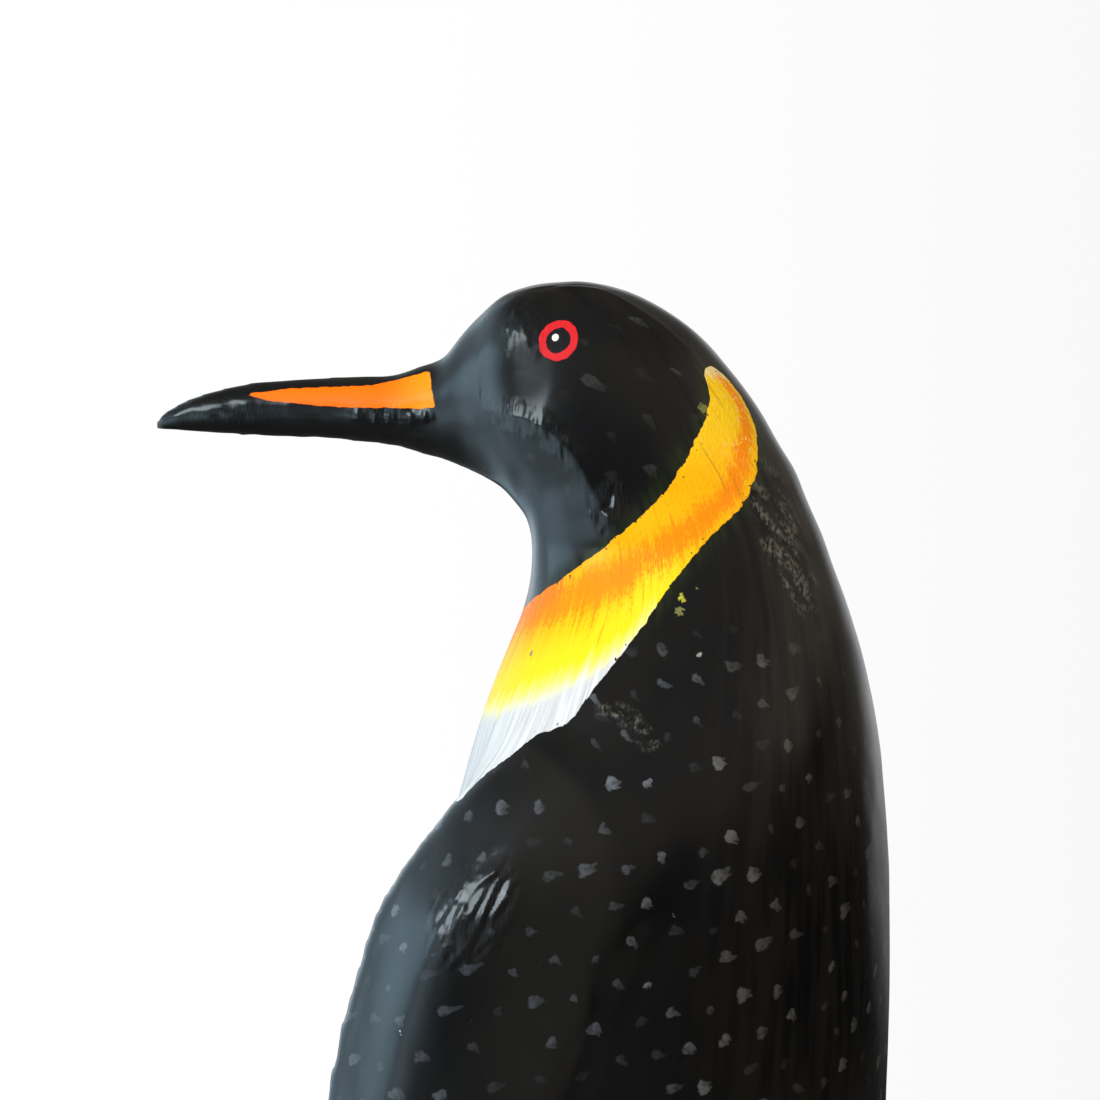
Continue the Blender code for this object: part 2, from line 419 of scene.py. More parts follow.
def flipper_section(rows, turn):
    """Points of the left flipper's level sections, in thousandths.

    Along the chord from front edge to rear edge a point is at (1 - cos t) / 2. Inwards it stands
    off the chord by the inner bulge times sin t. Outwards two flat facets meet at the ridge as a
    soft minimum, and the half ellipse is mixed in by what is left of the facets' share.
    """
    height = rows[:, 0][:, None] + 0 * turn
    front_edge = rows[:, None, 1:3]
    chord = rows[:, None, 3:5] - front_edge
    outward = np.stack([chord[..., 1], -chord[..., 0]], axis=-1)
    outward = outward / np.maximum(np.linalg.norm(chord, axis=-1), 1e-9)[..., None]
    along = ((1 - np.cos(turn)) / 2)[..., None]
    rising = np.maximum(along[..., 0], 1e-6) / FLIPPER_RIDGE
    falling = np.maximum(1 - along[..., 0], 1e-6) / (1 - FLIPPER_RIDGE)
    facets = (rising**-FLIPPER_CREASE + falling**-FLIPPER_CREASE) ** (-1 / FLIPPER_CREASE)
    faceted = rows[:, 7][:, None] / 100
    outer = rows[:, 5][:, None] * (faceted * facets + (1 - faceted) * np.sin(turn))
    across = np.where(np.sin(turn) > 0, outer, rows[:, 6][:, None] * np.sin(turn))
    level_point = front_edge + chord * along + outward * across[..., None]
    return np.concatenate([level_point, height[..., None]], axis=-1)


flipper_grid = placed(flipper_section(spline(FLIPPER, 16, dome=True), turns(96)))
skins.append(closed_skin(flipper_grid))
skins.append(closed_skin(flipper_grid * (-1, 1, 1)))


# The tail, a short wedge from the rump down to the base. Each row is a level oval section:
# height, front line inside the body, tip line, half width, in thousandths.
TAIL = [
    (235, 30, 92, 22),
    (190, 28, 101, 31),
    (130, 26, 116, 33),
    (70, 24, 130, 29),
    (20, 24, 138, 24),
    (0, 24, 140, 23),
    (-12, 24, 140, 23),
]


def level_oval(rows, turn):
    """Points of level ovals: x is the half width times sin t, y the middle less half length cos t."""
    height, front, tip, wide = rows.T[:, :, None]
    x = wide * np.sin(turn)
    y = (front + tip) / 2 - (tip - front) / 2 * np.cos(turn)
    return np.stack(np.broadcast_arrays(x, y, height), axis=-1)


skins.append(closed_skin(placed(level_oval(spline(TAIL, 20), turns(64)))))


# The feet, three toes each, fanned out from under the belly. Each row is an upright oval section
# of one toe: distance out from the heel, upper edge, lower edge, half width, in thousandths.
TOE = [
    (0, 40, -12, 14),
    (45, 34, -12, 17),
    (80, 25, -12, 17),
    (106, 18, -12, 13),
    (117, 12, -6, 8),
    (121, 3, 3, 0),
]
FOOT_ACROSS = 50
FOOT_FORWARD = 4
FOOT_TURN_OUT = math.radians(5)
TOE_FAN = math.radians(17)

toe_grid = upright_section(spline(TOE, 8, dome=True), turns(40))
for foot_side in (1, -1):
    for place in (-1, 0, 1):
        turn_out = foot_side * (FOOT_TURN_OUT + place * TOE_FAN)
        cos, sin = math.cos(turn_out), math.sin(turn_out)
        x = cos * toe_grid[..., 0] - sin * toe_grid[..., 1] + foot_side * FOOT_ACROSS
        y = sin * toe_grid[..., 0] + cos * toe_grid[..., 1] - FOOT_FORWARD
        skins.append(closed_skin(placed(np.stack([x, y, toe_grid[..., 2]], axis=-1))))


# The base, a low oval left at the foot of the block, with both edges rounded over.
BASE_LENGTH = 0.240
BASE_WIDTH = 0.190
BASE_ROUNDING = 0.006

quarter = np.linspace(0, np.pi / 2, 9)
inset = BASE_ROUNDING * (1 - np.sin(quarter))
climb = BASE_ROUNDING * (1 - np.cos(quarter))
rim_inset = np.concatenate([[0.05], inset, inset[::-1], [0.05]])[:, None]
rim_height = np.concatenate([[0], climb, BASE_HEIGHT - climb[::-1], [BASE_HEIGHT]])[:, None]
rim_turn = turns(160)
rim_x = (BASE_WIDTH / 2 - rim_inset) * np.sin(rim_turn)
rim_y = -(BASE_LENGTH / 2 - rim_inset) * np.cos(rim_turn)
base_grid = np.stack(np.broadcast_arrays(rim_x, rim_y, rim_height), axis=-1)
skins.append(closed_skin(base_grid))


# One piece of wood: the forms are merged into a single skin, and every inside corner is worn
# round, as gouge and sandpaper leave it. The net of faces is finer at the head than at the foot.
NET = 0.00372  # the side of a face at the height where the stretch below is 1


def joined(parts):
    """Points and faces of several skins as one list each."""
    starts = np.cumsum([0] + [len(points) for points, faces in parts[:-1]])
    points = np.vstack([points for points, faces in parts])
    return points, np.vstack([faces + start for start, (_, faces) in zip(starts, parts)])


def mesh_object(name, points, faces):
    """A mesh object with these points and four-sided faces. A face may repeat its last corner."""
    mesh = bpy.data.meshes.new(name)
    corners = [tuple(dict.fromkeys(face)) for face in faces.tolist()]
    mesh.from_pydata(points.tolist(), [], corners)
    made = bpy.data.objects.new(name, mesh)
    bpy.context.scene.collection.objects.link(made)
    return made


def ramp(values, low, high):
    """0 below low and 1 above high, with a smooth rise between. Low may be above high."""
    part = np.clip((values - low) / (high - low), 0, 1)
    return part * part * (3 - 2 * part)


height_steps = np.linspace(-0.02, 0.84, 400)
stretch = 0.62 + 0.38 * ramp(height_steps, 0.18, 0.31) + 0.54 * ramp(height_steps, 0.60, 0.68)
stretch += 0.75 * ramp(height_steps, 0.105, 0.045)
rises = (stretch[1:] + stretch[:-1]) / 2 * np.diff(height_steps)
stretched_height = np.concatenate([[0], np.cumsum(rises)])

points, faces = joined(skins)
by = np.interp(points[:, 2], height_steps, stretch)
up = np.interp(points[:, 2], height_steps, stretched_height)
rough_points = np.column_stack([points[:, 0] * by, points[:, 1] * by, up])
rough = mesh_object("rough_shape", rough_points, faces)
remesh = rough.modifiers.new("merged", "REMESH")
remesh.mode = "VOXEL"
remesh.voxel_size = NET
evaluated = rough.evaluated_get(bpy.context.evaluated_depsgraph_get())
merged = evaluated.to_mesh()
points = np.empty(len(merged.vertices) * 3)
merged.vertices.foreach_get("co", points)
points = points.reshape(-1, 3)
faces = np.empty(len(merged.loops), int)
merged.loops.foreach_get("vertex_index", faces)
faces = faces.reshape(-1, 4)
evaluated.to_mesh_clear()
bpy.data.objects.remove(rough)
points[:, 2] = np.interp(points[:, 2], stretched_height, height_steps)
points[:, :2] /= np.interp(points[:, 2], height_steps, stretch)[:, None]


def edge_ends(faces):
    """The two ends of every edge, once each way."""
    pairs = np.vstack([faces[:, [k, (k + 1) % 4]] for k in range(4)])
    return pairs[pairs[:, 0] != pairs[:, 1]].T


start, end = edge_ends(faces)


def average(values):
    """The mean of each point's neighbours."""
    columns = [np.bincount(start, values[end, k], len(values)) for k in range(values.shape[1])]
    return np.stack(columns, axis=-1) / np.bincount(start, minlength=len(values))[:, None]


def normals(points):
    """Outward unit normals at the points: each face's, by the cross product of its diagonals."""
    a, b, c, d = (points[faces[:, k]] for k in range(4))
    flat = np.cross(c - a, d - b)
    total = np.zeros_like(points)
    for k in range(4):
        for axis in range(3):
            total[:, axis] += np.bincount(faces[:, k], flat[:, axis], len(points))
    return total / np.linalg.norm(total, axis=1, keepdims=True)


def smooth(points, rounds, part=1.0):
    """Moves each point halfway to its neighbours' mean and back, or a part of that way."""
    for _ in range(rounds):
        for pull in (0.5, -0.52):
            points += pull * part * (average(points) - points)


# Steps of the net go first. Then the inside corners: where the neighbours' mean stands out from
# the surface, the corner and a strip beside it are drawn to it again and again.
smooth(points, 9)
for _ in range(2):
    hollow = np.sum((average(points) - points) * normals(points), axis=1, keepdims=True)
    corner = np.clip((hollow - 0.00006) / 0.00022, 0, 1)
    for _ in range(3):
        corner = np.maximum(corner, 0.92 * average(corner))
    for _ in range(14):
        points += 0.5 * corner * (average(points) - points)

# The shoulder runs into the neck and the face into the head with no corner at all: hollows there
# are filled level with what is round them, and nothing is taken off.
x, y, z = np.abs(points[:, 0]), points[:, 1], points[:, 2]
shoulder = ramp(x, 0.050, 0.062) * ramp(z, 0.548, 0.575) * ramp(z, 0.66, 0.64)
face = ramp(z, 0.68, 0.70) * ramp(y, -0.02, -0.035) * ramp(y, -0.10, -0.085)
weight = (shoulder + face)[:, None]
here = np.flatnonzero(weight)
filled = weight[start, 0] > 0
order = np.searchsorted(here, start[filled])
beside = end[filled]
count = np.bincount(order, minlength=len(here))[:, None]


def drawn():
    """From each point to be filled to the mean of its neighbours."""
    columns = [np.bincount(order, points[beside, k], len(here)) for k in range(3)]
    return np.stack(columns, axis=-1) / count - points[here]


for _ in range(6):
    outward = normals(points)[here]
    for _ in range(25):
        short = np.maximum(np.sum(drawn() * outward, axis=1, keepdims=True) - 0.000012, 0)
        points[here] += 0.7 * weight[here] * short * outward
for _ in range(6):
    points[here] += 0.5 * weight[here] * drawn()


# Tool marks that still show under the paint. Where they are small, the net is made finer first.
# Places are in millimetres: across, along and up, or only along and up on both sides alike.
JAW = [(-60, 747), (-50, 746), (-35, 743), (-24, 737), (-15, 729), (-9, 719), (-3, 709)]
JAW += [(3, 701), (9, 694)]
BROW = (-49, 791)
BROW_CUTS = (-41, 783)
MOUTH = [(-124, 743.0), (-110, 743.2), (-97, 743.4), (-85, 743.8)]
CROWN = [(18, -29, 796), (15, -13, 796), (16.7, 0, 790), (18.4, 15.5, 779.6), (18, 26, 770)]
CREST = [(80.8, 8, 630), (82.3, 17, 628), (84, 23.5, 623.5), (86, 28, 618)]
CHEEK_PIT = (43.6, -1.6, 707.9)
RASPED = (-36, 553)  # the middle of the rasped patch on the flipper's ridge
RASPED_REACH = (0.028, 0.019)  # metres, along the cuts and across them
RASPED_LEAN = math.radians(30)  # from upright, towards the tail
NAPE = (56, 697)  # across and up as seen from behind the shoulder, like all places on the nape
NAPE_REACH = (0.040, 0.011)
NAPE_LEAN = -0.34  # the patch's own lean
NAPE_CUTS_LEAN = -0.60


def finer(points, faces, chosen):
    """Splits each chosen face in four, and those beside it so that the skin stays closed."""
    coarse = mesh_object("coarse_net", points, faces)
    net = bmesh.new()
    net.from_mesh(coarse.data)
    bpy.data.objects.remove(coarse)
    net.faces.ensure_lookup_table()
    split = {edge.index: edge for index in chosen.tolist() for edge in net.faces[index].edges}
    edges = [split[k] for k in sorted(split)]
    bmesh.ops.subdivide_edges(net, edges=edges, cuts=1, use_grid_fill=True)
    bmesh.ops.triangulate(net, faces=[face for face in net.faces if len(face.verts) > 4])
    net.verts.index_update()
    points = np.array([corner.co[:] for corner in net.verts])
    corners = [[corner.index for corner in face.verts] for face in net.faces]
    net.free()
    return points, np.array([face if len(face) == 4 else [*face, face[-1]] for face in corners])


def noise(places, seed):
    """Smooth random values from -1 to 1: random numbers at whole places, eased in between."""
    table = np.random.default_rng(seed).uniform(-1, 1, (32, 32, 32))
    cell = np.floor(places).astype(int)
    part = places - cell
    ease = part * part * (3 - 2 * part)
    total = np.zeros(len(places))
    for corner in np.ndindex(2, 2, 2):
        near = np.prod(np.where(corner, ease, 1 - ease), axis=1)
        total += table[tuple(((cell + corner) % 32).T)] * near
    return total


def line_distance(points, line):
    """The least distance from each point to a line of straight stretches."""
    least = np.full(len(points), np.inf)
    for first, last in zip(line, line[1:]):
        step = last - first
        along = np.clip((points - first) @ step / (step @ step), 0, 1)
        gap = np.linalg.norm(points - first - along[:, None] * step, axis=1)
        least = np.minimum(least, gap)
    return least


def near_line(points, line):
    """The distance to a smooth line through places in millimetres, on both sides of the bird alike."""
    line = spline(line, 4) / 1000
    both = np.column_stack([np.abs(points[:, 0]), points[:, 1:]])
    if line.shape[1] == 2:
        both = points[:, 1:]
    return line_distance(both, line)


def patch(points, place, reach, lean=0.0, side=0):
    """1 near a place in millimetres along and up, and 0 past its reach up and along in metres.

    It may lean back, and it stays off the middle of the bird by the distance given as side.
    """
    cos, sin = math.cos(lean), math.sin(lean)
    y, z = points[:, 1] - place[0] / 1000, points[:, 2] - place[1] / 1000
    far = np.hypot((y * sin + z * cos) / reach[0], (y * cos - z * sin) / reach[1])
    return ramp(far, 1.0, 0.6) * (np.abs(points[:, 0]) > side)


def cuts(along, across, lean, spread, seed):
    """The lift of small flat cuts side by side, each with a slant of its own.

    Places are counted in cuts' lengths and widths. Each whole cell holds the middle of one cut,
    moved by chance, and the lift is the mean of the nine nearest cuts' planes, each weighed by e
    to the power -11 times the square of the distance to its middle. Lean is the mean slant across,
    and spread is how far chance changes a cut's slants.
    """
    table = np.random.default_rng(seed).uniform(-1, 1, (32, 32, 4))
    cell_along, cell_across = np.floor(along).astype(int), np.floor(across).astype(int)
    lift, weight = np.zeros(len(along)), np.zeros(len(along))
    for i in (-1, 0, 1):
        for j in (-1, 0, 1):
            chance = table[(cell_along + i) % 32, (cell_across + j) % 32].T
            to_along = along - cell_along - i - 0.5 - 0.35 * chance[0]
            to_across = across - cell_across - j - 0.5 - 0.35 * chance[1]
            near = np.exp(-11 * (to_along**2 + to_across**2))
            slant = lean + spread * chance[3]
            lift += near * (0.7 * spread * chance[2] * to_along + slant * to_across)
            weight += near
    return lift / weight


def ridge(gap, height, width):
    """A ridge with sides that fall off by 1/e in each width, its top a little rounded."""
    rounding = width / 8
    return height * np.exp(-(np.hypot(gap, rounding) - rounding) / width)


def worked(points, wider):
    """Where the net has to be finer for the small marks, with a margin round each of them."""
    brow_cuts = np.hypot(points[:, 1] - BROW_CUTS[0] / 1000, points[:, 2] - BROW_CUTS[1] / 1000)
    marked = (near_line(points, JAW) < 0.0075 + wider) | (brow_cuts < 0.007 + wider)
    marked &= np.abs(points[:, 0]) > 0.015
    for line, reach in ((MOUTH, 0.003), (CREST, 0.006), (CROWN, 0.002)):
        marked |= near_line(points, line) < reach + wider
    return marked | (patch(points, RASPED, RASPED_REACH, RASPED_LEAN, 0.095) > 0)


def from_behind(points):
    """The points with y as it is seen from behind the shoulder: less by 0.292 of how far across."""
    along = 0.956 * points[:, 1] - 0.292 * np.abs(points[:, 0])
    return np.column_stack([points[:, 0], along, points[:, 2]])


# The flippers' thin front edges are evened out along their length before the net is made finer.
rows = np.array(FLIPPER)[1:]
flipper_edge = np.column_stack([share(rows[:, 1:3]), level(rows[:, 0])]) * 1000
on_edge = ramp(near_line(points, flipper_edge), 0.016, 0.008)[:, None]
smooth(points, 90, on_edge)

centres = points[faces].mean(axis=1)
first = worked(centres, 0.004) | (patch(from_behind(centres), NAPE, NAPE_REACH, NAPE_LEAN) > 0)
points, faces = finer(points, faces, np.flatnonzero(first))
centres = points[faces].mean(axis=1)
points, faces = finer(points, faces, np.flatnonzero(worked(centres, 0.0)))
start, end = edge_ends(faces)
smooth(points, 4, worked(points, 0.006)[:, None])

x, y, z = points.T
wide = np.abs(x)
lift = 0.00032 * noise(points / (0.026, 0.026, 0.040), 3)
lift += 0.00018 * noise(points / (0.010, 0.010, 0.018), 5)

# The cheek flares out to the jaw's edge and the throat falls away from it. The brow swells, and
# the mouth and the crown have low ridges. The shoulder's crest has rough cuts, the cheek a pit,
# and the lower half of the bill small bumps.
jaw_line = spline(JAW, 4) / 1000
cheek = y > np.interp(z, jaw_line[::-1, 1], jaw_line[::-1, 0])
jaw_gap = near_line(points, JAW)
jaw_ends = ramp(y, -0.066, -0.046) * ramp(z, 0.690, 0.704) * ramp(wide, 0.010, 0.026)
lift += ridge(jaw_gap, 0.0024, np.where(cheek, 0.0064, 0.0200)) * jaw_ends
brow_gap = np.hypot(y - BROW[0] / 1000, z - BROW[1] / 1000)
lift += 0.0036 * np.exp(-((brow_gap / 0.0155) ** 2)) * ramp(wide, 0.004, 0.024)
mouth_ends = ramp(y, -0.128, -0.118) * ramp(y, -0.080, -0.088)
lift += ridge(near_line(points, MOUTH), 0.0007, 0.0024) * mouth_ends
lift += ridge(near_line(points, CROWN), 0.0009, 0.0030)
crest_rough = ramp(near_line(points, CREST), 0.0055, 0.001) * (x > 0)
crest_cuts = cuts(y / 0.0044, -z / 0.0034, -0.9, 0.8, 17)
lift += 0.00065 * crest_cuts * crest_rough
pit_gap = np.linalg.norm(points - np.array(CHEEK_PIT) / 1000, axis=1)
lift -= 0.0008 * np.exp(-((pit_gap / 0.0013) ** 2))
lower_bill = ramp(y, -0.080, -0.090) * ramp(z, 0.7505, 0.7475)
lift += 0.00022 * noise(points / (0.0040, 0.0055, 0.0040), 19) * lower_bill

# Where knife and rasp left short strokes: on the jaw's edge, on the crest of the shoulder, and in
# four patches.
strokes = ramp(jaw_gap, 0.0080, 0.0040) * (1 - 0.75 * ramp(y, -0.024, -0.016)) * jaw_ends
strokes = np.maximum(strokes, crest_rough)
for spot, reach, lean, side, depth in (
    ((-1, 708), (0.014, 0.010), 0.35, 0.02, 1.0),  # round the pit in the cheek
    ((-40, 777), (0.016, 0.013), 0.4, 0.012, 0.8),  # at the brow
    ((-103, 744.5), (0.005, 0.024), 0.0, 0, 1.0),  # along the mouth
    ((-180, 745), (0.007, 0.030), 0.0, 0, 0.8),  # at the bill's tip
):
    strokes = np.maximum(strokes, depth * patch(points, spot, reach, lean, side))
lift += 0.00022 * noise(points / (0.0032, 0.0032, 0.0044), 11) * strokes
lift += 0.00034 * noise(points / (0.0021, 0.0021, 0.0064), 13) * strokes

# The nape, worked with rows of short strokes that run down to the rear.
behind = from_behind(points)
nape = patch(behind, NAPE, NAPE_REACH, NAPE_LEAN)
cos, sin = math.cos(NAPE_CUTS_LEAN), math.sin(NAPE_CUTS_LEAN)
nape_along = (behind[:, 1] * sin + z * cos) / 0.0120
nape_across = (behind[:, 1] * cos - z * sin) / 0.0032 + 0.25 * noise(points / 0.010, 43)
nape_cuts = cuts(nape_along, nape_across, 0.0, 1.4, 41)
lift += 0.00045 * nape_cuts * nape

# The rasped patch on the flipper's ridge: long cuts side by side, leaning back like the ridge.
# Their slant turns from one side of the patch to the other.
cos, sin = math.cos(RASPED_LEAN), math.sin(RASPED_LEAN)
bent = 0.20 * noise(points / 0.012, 23)
rasped = patch(points, RASPED, RASPED_REACH, RASPED_LEAN, 0.095)
in_patch = (y - RASPED[0] / 1000) * cos - (z - RASPED[1] / 1000) * sin
slant = 0.35 + 48 * in_patch
cut_along = (y * sin + z * cos) / 0.0170
cut_across = (y * cos - z * sin) / 0.0052 + bent
lift += 0.00135 * cuts(cut_along, cut_across, slant, 0.6, 29) * rasped
lift += 0.00010 * noise(points / (0.0022, 0.0022, 0.0034), 31) * rasped
points += lift[:, None] * normals(points)
points[:, 2] = np.where(points[:, 2] < 0.0014, 0, points[:, 2])


# The layout of the paint, drawn on the wood before any colour. A place on the bird is given by its
# height in thousandths and by its angle round the body's own section, 0 at the breast line and
# 180 at the back line, alike on both sides. On the bill it is the distance forward and the height.
BAND_INNER = [(822, 0), (824, 15), (830, 31), (841, 48.6), (856, 67), (872.5, 84.6), (894, 106.5)]
BAND_INNER += [(916, 127), (930, 138.5), (941, 147), (950, 151)]
BAND_OUTER = [(955, 159), (951.5, 168), (940, 170.5), (924, 165.5), (911, 156), (899, 146.5)]
BAND_OUTER += [(884, 134), (870, 118), (850.5, 102), (830, 91.6), (808, 83.6), (786, 76.3)]
BREAST_EDGE = [(773.3, 71.9), (767.6, 64.3), (760, 60.3), (752, 56.3), (744.4, 53.5), (736, 51.3)]
BREAST_EDGE += [(722, 51), (700, 55), (650, 62), (540, 63), (400, 62), (250, 60), (130, 56)]
BREAST_EDGE += [(60, 47), (30, 32), (19, 12), (17, -6)]
YELLOW_END = [(768, 0), (772.5, 32), (779, 48), (788, 63), (799.5, 75), (810.5, 83), (824, 91)]
STRIPE_TOP = [(220, 939.5), (188.6, 942.7), (155.2, 943.9), (135.8, 946.6), (114.7, 952)]
STRIPE_END = [(113, 951.5), (110.2, 942.5), (107.2, 933)]
STRIPE_FOOT = [(107.2, 932.6), (120, 932), (134.5, 932.2), (167.1, 932.5), (194.4, 934.5)]
STRIPE_FOOT += [(208.4, 936.1), (218.4, 938.6)]

bird_height = (points[:, 2] - BASE_HEIGHT) / BIRD_HEIGHT * 1000
front, back, wide = (np.interp(bird_height, body_rows[:, 0], body_rows[:, k]) for k in (1, 2, 4))
middle = (front + back) / 2
across = np.abs(points[:, 0]) / share(np.maximum(wide, 1))
ahead = (share(middle) - points[:, 1]) / share((back - front) / 2)
angle = np.arctan2(across, ahead)
degrees = np.degrees(angle)


def girth_radius(height):
    """The mean radius of the body's section at a height, in metres."""
    mean = (2 * body_rows[:, 4] + body_rows[:, 2] - body_rows[:, 1]) / 4
    return share(np.interp(height, body_rows[:, 0], mean))


def drawn_line(rows, fine=6):
    """A smooth line through heights and angles, on the body's side rolled out flat."""
    line = spline(rows, fine)
    return np.column_stack([girth_radius(line[:, 0]) * np.radians(line[:, 1]), level(line[:, 0])])


def inside(points, outline):
    """True inside a closed outline: a line to the right crosses it an odd number of times."""
    odd = np.zeros(len(points), bool)
    for (x1, y1), (x2, y2) in zip(outline, np.roll(outline, -1, axis=0)):
        level_with = (y1 > points[:, 1]) != (y2 > points[:, 1])
        crossing = x1 + (points[:, 1] - y1) * (x2 - x1) / np.where(y2 == y1, 1e-12, y2 - y1)
        odd ^= level_with & (points[:, 0] < crossing)
    return odd


def depth_inside(points, outline):
    """The distance to a closed outline, positive inside it and negative outside."""
    gap = line_distance(points, np.vstack([outline, outline[:1]]))
    return np.where(inside(points, outline), gap, -gap)


flat = np.column_stack([girth_radius(bird_height) * angle, points[:, 2]])
beyond_middle = drawn_line([(17, -40), (822, -40)])
pale_outline = drawn_line(BAND_INNER + BAND_OUTER + BREAST_EDGE)
pale = depth_inside(flat, np.vstack([pale_outline, beyond_middle]))
body_shell = share(np.hypot(wide * np.sin(angle), (back - front) / 2 * np.cos(angle)))
stand_off = np.hypot(points[:, 0], points[:, 1] - share(middle)) - body_shell
pale = np.minimum(pale, 0.0045 - stand_off + 0.03 * ramp(bird_height, 722, 748))

inner_gap = line_distance(flat, drawn_line(BAND_INNER))
outer_gap = line_distance(flat, drawn_line(BAND_OUTER[:-1] + YELLOW_END[-2::-1]))
band_share = inner_gap / (inner_gap + outer_gap + 1e-6)
orange_place = np.interp(degrees, [0, 35, 60, 85, 110, 180], [0.10, 0.12, 0.22, 0.46, 0.70, 0.78])
orange_width = np.interp(degrees, [0, 60, 85, 110, 145, 180], [0.22, 0.22, 0.27, 0.28, 0.18, 0.15])
warm = np.exp(-(((band_share - orange_place) / orange_width) ** 2))
red = ramp(degrees, 72, 45) * ramp(band_share, 0.42, 0.06)
yellow_line = spline(YELLOW_END, 6)
yellow_end = share(bird_height - np.interp(degrees, yellow_line[:, 1], yellow_line[:, 0]))

stripe_outline = np.vstack([spline(line, 6) for line in (STRIPE_TOP, STRIPE_END, STRIPE_FOOT)])
stripe_outline = np.column_stack([share(stripe_outline[:, 0]), level(stripe_outline[:, 1])])
stripe = depth_inside(np.column_stack([-points[:, 1], points[:, 2]]), stripe_outline)
stripe = np.where(points[:, 1] < -0.06, stripe, -0.01)
off_body = np.where((degrees > 50) & (bird_height < 770), stand_off, 0)

# Where the rows of daubs go: from the back line round each side, and up. And the way of the long
# brush strokes: up and down, at the same angle round the body.
ROUND = 0.08  # the radius at which the strokes are laid out, in metres
side = np.where(points[:, 0] < 0, -1, 1)
round_back = side * (np.pi - angle) * girth_radius(bird_height)
rows_place = np.column_stack([round_back, points[:, 2], 0 * angle])
stroke = np.column_stack([side * ROUND * np.sin(angle), -ROUND * np.cos(angle), points[:, 2]])

# The painted skin, with the layout kept as values at its points.
# On the crest's raised cuts: painted glints, brownish-white like the nape's dust.
crest_glints = crest_rough * ramp(crest_cuts, -0.05, 0.25)
bird = mesh_object("penguin_skin", points, faces)
bird.data.shade_smooth()
for name, values in (
    ("pale", pale),
    ("warm", warm),
    ("red", red),
    ("yellow_end", yellow_end),
    ("stripe", stripe),
    ("strokes", np.maximum(strokes, 0.5 * rasped)),
    # Dust, with painted glints, on the raised cuts of the nape and the crest.
    ("dust_and_glints", np.maximum(nape * ramp(nape_cuts, -0.05, 0.25), crest_glints)),
    ("off_body", off_body),
):
    layer = bird.data.attributes.new(name, "FLOAT", "POINT")
    layer.data.foreach_set("value", values.astype(np.float32))
for name, values in (("rows", rows_place), ("stroke", stroke)):
    layer = bird.data.attributes.new(name, "FLOAT_VECTOR", "POINT")
    layer.data.foreach_set("vector", values.astype(np.float32).ravel())

# The flat underside is one face.
net = bmesh.new()
net.from_mesh(bird.data)
underside = [face for face in net.faces if all(corner.co.z == 0 for corner in face.verts)]
bmesh.ops.dissolve_faces(net, faces=underside)
net.to_mesh(bird.data)
net.free()


# The paint: black gloss over filler, with the colours brushed on top once it was dry, and a clear
# varnish over all. Every edge wavers a little, as a hand-held brush does.
def maths(tree, operation, *values):
    """The result of a Math node on sockets or numbers."""
    node = add(tree, "ShaderNodeMath", {"operation": operation})
    fill(tree, node, values)
    return node.outputs[0]


def total(tree, *values):
    """The sum of several sockets or numbers."""
    result = values[0]
    for value in values[1:]:
        result = maths(tree, "ADD", result, value)
    return result


def product(tree, *values):
    """The product of several sockets or numbers."""
    result = values[0]
    for value in values[1:]:
        result = maths(tree, "MULTIPLY", result, value)
    return result


def grain(tree, place, size, detail=2.0, drawn_out=(1, 1, 1)):
    """Noise from 0 to 1 with features of a size in metres, drawn out along an axis."""
    cells = vector(tree, "MULTIPLY", place, tuple(1 / (size * k) for k in drawn_out))
    return add(tree, "ShaderNodeTexNoise", Vector=cells, Scale=1.0, Detail=detail).outputs[0]


